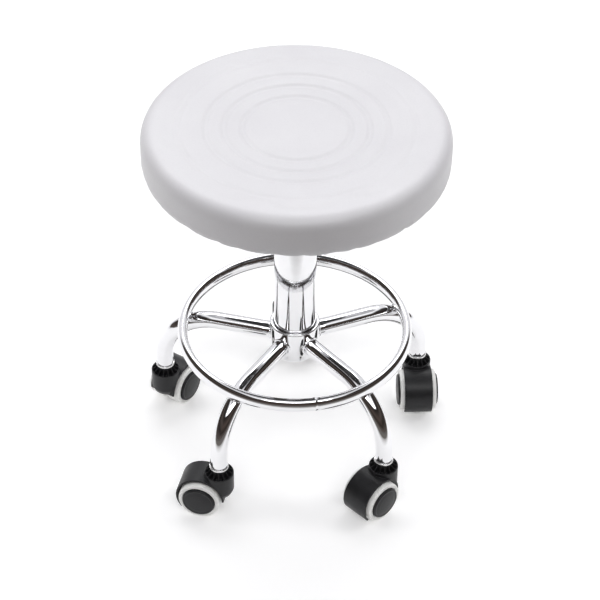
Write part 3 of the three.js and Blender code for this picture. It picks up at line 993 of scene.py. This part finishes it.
def lever():
    """The release lever, its cross pin, and a ribbed grip."""
    anchors = [(-3, LEVER_Z), (12, LEVER_Z), (30, LEVER_Z), (50, 388), (70, 379)]
    anchors += [(88, GRIP_Z), (114, GRIP_Z), (143, GRIP_Z)]
    knots = [Vector((x, 0, z)) for x, z in anchors]
    line = []
    for i in range(len(knots) - 1):
        a = knots[max(i - 1, 0)]
        b, c = knots[i], knots[i + 1]
        d = knots[min(i + 2, len(knots) - 1)]
        for k in range(6):
            t = k / 6
            point = 2 * b + (c - a) * t + (2 * a - 5 * b + 4 * c - d) * t * t + (3 * b - a - 3 * c + d) * t**3
            line.append(point / 2)
    line.append(knots[-1])
    arm = swept_shape(line, lambda i: 3.2 if i == 0 else 4.0, 24)
    pin_line = [(LEVER_PIVOT_X, y, LEVER_Z) for y in (-9.5, -9.2, 9.2, 9.5)]
    cross_pin = swept_shape(pin_line, lambda i: 1.6 if i in (0, 3) else 2.0, 20)
    piece = placed("steel_lever", *together([arm, cross_pin]), ZINC)
    belongs(piece, "lever", "zinc_steel", "lever_arm")

    start = node_low("lever_grip").x
    low, high = heights("lever_grip")
    radius = (high - low) / 2
    length = node_high("lever_grip").x - start
    bore = 4.4
    outline = [(0, length - 12), (bore, length - 12), (bore, 0), (radius - 2, 0), (radius - 1.2, 3)]
    ribs = 6
    for i in range(ribs):
        z = 7 + i * (length - 17) / ribs
        outline += [(radius - 0.9, z), (radius - 0.1, z + 1.4)]
        outline += [(radius - 0.1, z + 3.0), (radius - 0.9, z + 4.2)]
    outline += [(radius, length - 7), (radius - 3, length), (0, length)]
    grip = turned("lever_knob", outline, NYLON, FINE_ROUND)
    grip.data.transform(Matrix.Translation(metres((start, 0, GRIP_Z))) @ Matrix.Rotation(math.pi / 2, 4, "Y"))
    belongs(grip, "lever", "grip_plastic", "lever_grip")


# ---- Casters ----

NECK_RIM = 58.8
NECK_RIBS = 14
BOSS_TOP = node_low("caster_socket_1").z - GAP


def axle_cylinder(name, radius, low, high, segments=96):
    """A cylinder along Y about the axle, for cutting the space of a wheel."""
    shape = turned_shape([(0, low), (radius, low), (radius, high), (0, high)], segments)
    place = Matrix.Translation((TRAIL, 0, WHEEL_RADIUS)) @ Matrix.Rotation(-math.pi / 2, 4, "X")
    return placed(name, *moved(shape, place), NYLON)


def hood_neck():
    """The round neck, with an open ring in its top round the boss for the stem."""
    outline = [
        (0, WHEEL_RADIUS - 0.5), (9, WHEEL_RADIUS), (15, WHEEL_RADIUS + 2.6),
        (HOOD_HALF, WHEEL_RADIUS + 8.5), (HOOD_HALF, NECK_RIM - 0.8),
        (HOOD_HALF - 0.4, NECK_RIM), (HOOD_HALF - 1.2, NECK_RIM),
        (HOOD_HALF - 1.6, NECK_RIM - 0.5), (HOOD_HALF - 1.7, NECK_RIM - 4.3),
        (9.6, NECK_RIM - 4.3), (9.4, BOSS_TOP - 0.4), (9.0, BOSS_TOP), (0, BOSS_TOP),
    ]
    return placed("neck", *turned_shape(outline, 96), NYLON)


def mudguard():
    """The guard over both wheels: a drum about the axle, cut off along a slanting line below."""
    radius = 29.5
    steps = 72
    start = math.radians(-38)
    rim = [polar(radius, start + (math.pi - start) * i / steps) for i in range(steps + 1)]
    sides = [[(TRAIL + x, y, WHEEL_RADIUS + z) for x, z, _ in rim] for y in (-HOOD_HALF, HOOD_HALF)]
    count = len(rim)
    faces = [list(range(count)), list(range(count, 2 * count)), *band(0, count, count)]
    return placed("guard", sides[0] + sides[1], faces, NYLON)


def neck_ribs():
    """Thin ribs across the ring in the neck's top, lower at the boss than at the rim."""
    shapes = []
    for angle in turns(NECK_RIBS):
        corners = []
        for radius, top in ((8.6, BOSS_TOP - 0.5), (HOOD_HALF - 1.2, NECK_RIM - 0.4)):
            for side in (-0.55, 0.55):
                corners += [(radius, side, NECK_RIM - 5.5), (radius, side, top)]
        shapes.append(moved((corners, BOX_FACES), spun(angle)))
    return placed("ribs", *together(shapes), NYLON)


def hood_mesh():
    """One caster hood: a neck with ribs in its open top, a middle web and a mudguard over both wheels."""
    hood = hood_neck()
    combined(hood, mudguard(), "UNION")
    web_half = 3.5
    well_radius = WHEEL_RADIUS + 1.8
    for low, high in ((web_half, 30), (-30, -web_half)):
        combined(hood, axle_cylinder("well", well_radius, low, high), "DIFFERENCE")
    low, high = 52, 80  # of the hole for the stem, which runs out through the neck's top
    stem_hole = [(0, low), (STEM_BORE, low), (STEM_BORE, high), (0, high)]
    combined(hood, placed("stem_hole", *turned_shape(stem_hole, 32), NYLON), "DIFFERENCE")
    combined(hood, axle_cylinder("axle_hole", 3 + GAP, -6, 6, 32), "DIFFERENCE")
    join_meshes(hood, neck_ribs())
    modified(hood, "REMESH", mode="VOXEL", voxel_size=0.45 * MM)
    modified(hood, "SMOOTH", factor=0.5, iterations=5)
    modified(hood, "DECIMATE", ratio=0.22)
    mesh = hood.data.copy()
    discard(hood)
    return mesh


def wheel_outline():
    """A wheel's hard core and its domed cap, which has a raised edge."""
    return [
        (0, 21), (3.3, 21), (3.3, 4), (19.5, 4), (19.5, 22.6), (19.5, 24.0), (18.4, 25.0),
        (17.2, 25.0), (16.6, 24.7), (12.0, 25.6), (6.0, 26.1), (0, 26.3),
    ]


def tyre_outline():
    """The white tyre: a flat tread, an eased shoulder and a shallow step on its outer face."""
    return [
        (20, 4.3), (WHEEL_RADIUS - 0.9, 4.3), (WHEEL_RADIUS, 5.6), (WHEEL_RADIUS, 20.4),
        (WHEEL_RADIUS - 0.7, 22.1), (WHEEL_RADIUS - 2.2, 22.5), (WHEEL_RADIUS - 2.5, 22.1),
        (20, 22.1),
    ]


def casters():
    joints = {j["name"]: j for j in frame["joints"]}
    hood = hood_mesh()
    for number in NUMBERS:
        axis = Vector(joints[f"caster_{number}_swivel"]["pos_m"])
        wheel = Vector(joints[f"wheel_{number}_left_spin"]["pos_m"])
        place = spun(math.atan2(wheel.y - axis.y, wheel.x - axis.x), axis.x, axis.y)
        body = f"caster_{number}"
        shell = finished(f"hood_{number}", hood.copy(), NYLON, sharp=50)
        shell.data.transform(place)
        belongs(shell, body, "black_nylon", f"{body}_hood")
        axle = place @ Matrix.Translation(metres((TRAIL, 0, WHEEL_RADIUS)))
        for side, sign in zip(SIDES, (1, -1)):
            outward = axle @ Matrix.Rotation(-sign * math.pi / 2, 4, "X")
            spin = f"wheel_{number}_{side}"
            core = turned(f"core_{number}_{side}", wheel_outline(), NYLON, FINE_ROUND, ease=0.7)
            core.data.transform(outward)
            belongs(core, spin, "black_nylon", f"{body}_{side}_wheel")
            tyre = turned(f"tyre_{number}_{side}", tyre_outline(), TYRE_WHITE, ease=0.7, loop=True)
            tyre.data.transform(outward)
            belongs(tyre, spin, "white_tyre", f"{body}_{side}_tyre")


def dress_cad_nodes():
    """The CAD pieces that keep their own shape get their finishes."""
    finishes = {"seat_board": PLYWOOD, "thrust_bearing": BRIGHT}
    for number in NUMBERS:
        finishes[f"caster_{number}_stem"] = ZINC
        finishes[f"caster_{number}_axle"] = ZINC
    for name, material in finishes.items():
        mesh = frame["nodes"][name].data
        mesh.materials.clear()
        mesh.materials.append(material)


# ---- Studio ----


def floor():
    """A white floor that glows with painted light. What the stool mirrors is a white sweep that ends a little
    in front of it.
    """
    m = Shading("studio_floor", Metallic=0.0)
    cloud = m.noise(1.5, 3)
    white = m.mix(m.spread(cloud, 0, 1), grey(0.95), grey(0.97))
    along = m.add("ShaderNodeSeparateXYZ", {0: m.place}).outputs["Y"]
    on_sweep = m.spread(along, 0, 1, -0.66, -0.34)
    camera_ray = m.add("ShaderNodeLightPath").outputs["Is Camera Ray"]
    color = m.mix(m.math("MAXIMUM", on_sweep, camera_ray), (0.11, 0.10, 0.09, 1), white)
    far = m.add("ShaderNodeVectorMath", {0: m.place}, operation="LENGTH").outputs["Value"]
    painted_glow_distance = m.math("MULTIPLY", far, camera_ray)
    # Painted light: the floor glows everywhere, which lifts the shade under the stool and lights it from
    # below. To the camera it glows more strongly far off, so the far floor stays white.
    m.put(m.shader.inputs["Emission Color"], color)
    m.put(m.shader.inputs["Emission Strength"], m.spread(painted_glow_distance, 0.18, 0.62, 0.7, 3.0))
    m.finish(color, m.spread(cloud, 0.75, 0.85))
    half = 15000
    corners = [(-half, -half, 0), (half, -half, 0), (half, half, 0), (-half, half, 0)]
    ground = placed("floor", corners, [(0, 1, 2, 3)], m.material)


# The studio's colours by the sine of the elevation: in front is a dark room up to a broad soft light,
# the sides are dark too, and behind the stool is a white backdrop.
FRONT_ROOM = (
    (0.00, (0.12, 0.10, 0.09)),
    (0.16, (0.032, 0.026, 0.023)),
    (0.36, (0.08, 0.060, 0.052)),
    (0.63, (0.02, 0.017, 0.016)),
    (0.68, (1.1, 1.1, 1.12)),
    (0.86, (1.1, 1.1, 1.12)),
    (0.90, (0.45, 0.45, 0.47)),
    (1.00, (0.55, 0.55, 0.57)),
)
SIDE_ROOM = (
    (0.00, (0.10, 0.084, 0.076)),
    (0.25, (0.03, 0.024, 0.022)),
    (0.45, (0.08, 0.066, 0.058)),
    (0.62, (0.02, 0.017, 0.016)),
    (0.78, (0.05, 0.045, 0.045)),
    (0.84, (0.60, 0.60, 0.62)),
    (0.90, (0.45, 0.45, 0.47)),
    (1.00, (0.55, 0.55, 0.57)),
)
BACK_WALLS = (
    (0.00, (0.74, 0.73, 0.75)),
    (0.10, (0.80, 0.80, 0.82)),
    (0.50, (0.88, 0.88, 0.91)),
    (0.84, (0.94, 0.94, 0.97)),
    (0.90, (0.50, 0.50, 0.52)),
    (1.00, (0.55, 0.55, 0.57)),
)


def bands(world, rows, height):
    """A room's colour at a height."""
    ramp = world.add("ShaderNodeValToRGB", {0: height})
    for i, (position, color) in enumerate(rows):
        element = ramp.color_ramp.elements[i] if i < 2 else ramp.color_ramp.elements.new(position)
        element.position = position
        element.color = (*color, 1)
    return ramp.outputs["Color"]


def studio_world():
    """The room that the chrome reflects. The camera itself sees plain pale walls."""
    bpy.context.scene.world = bpy.data.worlds.new("studio")
    world = Nodes(bpy.context.scene.world)
    direction = world.add("ShaderNodeTexCoord").outputs["Generated"]
    split = world.add("ShaderNodeSeparateXYZ", {0: direction}).outputs
    inputs = {"Scale": 2.5, "Detail": 3, "Vector": direction}
    clutter = world.add("ShaderNodeTexNoise", inputs).outputs["Fac"]
    height = world.math("SUBTRACT", world.math("MULTIPLY_ADD", clutter, 0.10, split["Z"]), 0.05)
    sideways = world.math("ABSOLUTE", split["X"])
    backwards = world.math("MULTIPLY_ADD", sideways, -0.6, split["Y"])
    seen = bands(world, FRONT_ROOM, height)
    for value, low, high, room in ((sideways, 0.48, 0.60, SIDE_ROOM), (backwards, 0.05, 0.32, BACK_WALLS)):
        inputs = {"From Min": low, "From Max": high, "Value": value}
        share = world.add("ShaderNodeMapRange", inputs, interpolation_type="SMOOTHSTEP").outputs[0]
        seen = world.mix(share, seen, bands(world, room, height))
    camera_ray = world.add("ShaderNodeLightPath").outputs["Is Camera Ray"]
    background = world.tree.nodes["Background"]
    world.put(background.inputs["Color"], world.mix(camera_ray, seen, (0.96, 0.96, 0.97, 1)))
    background.inputs["Strength"].default_value = 1.0


def softbox(name, place, size, power, mirrored=True):
    """A soft lamp that shines at the stool."""
    light = bpy.data.lights.new(name, "AREA")
    light.shape = "RECTANGLE"
    light.size, light.size_y = size
    light.energy = power
    lamp = in_scene(name, light)
    lamp.location = place
    lamp.rotation_euler = (Vector((0, 0, 0.2)) - Vector(place)).to_track_quat("-Z", "Y").to_euler()
    lamp.visible_glossy = mirrored


def lights():
    softbox("front_light", (0.0, -1.9, 2.5), (2.6, 0.9), 24)
    softbox("back_light", (0.0, 1.9, 2.6), (2.6, 1.2), 26)
    softbox("left_light", (-2.3, 0.3, 1.9), (1.0, 1.4), 15, mirrored=False)
    softbox("right_light", (2.3, 0.3, 1.9), (1.0, 1.4), 17, mirrored=False)


def camera():
    """The camera looks down at the stool from the front, on a long lens."""
    azimuth = math.radians(4.25)
    elevation = math.radians(40.29)
    roll = math.radians(0.68)
    distance = 2.3794
    aim = Vector((0.0059, 0, 0.2058))
    level = math.cos(elevation)
    forward = Vector((math.sin(azimuth) * level, math.cos(azimuth) * level, -math.sin(elevation)))
    right = forward.cross(Vector((0, 0, 1))).normalized()
    up = right.cross(forward)
    lens = bpy.data.cameras.new("camera")
    lens.lens = 120.08
    lens.sensor_width = 36
    view = in_scene("camera", lens)
    turn = Matrix((right, up, -forward)).transposed().to_4x4() @ Matrix.Rotation(roll, 4, "Z")
    view.matrix_world = Matrix.Translation(aim - forward * distance) @ turn
    bpy.context.scene.camera = view


camera()
lights()
studio_world()
floor()
bpy.context.scene.view_settings.view_transform = "Standard"

legs()
foot_ring()
hub()
sockets()
column()
guide()
rod_and_clip()
cylinder_and_pin()
seat_pad()
underside()
lever()
casters()
dress_cad_nodes()
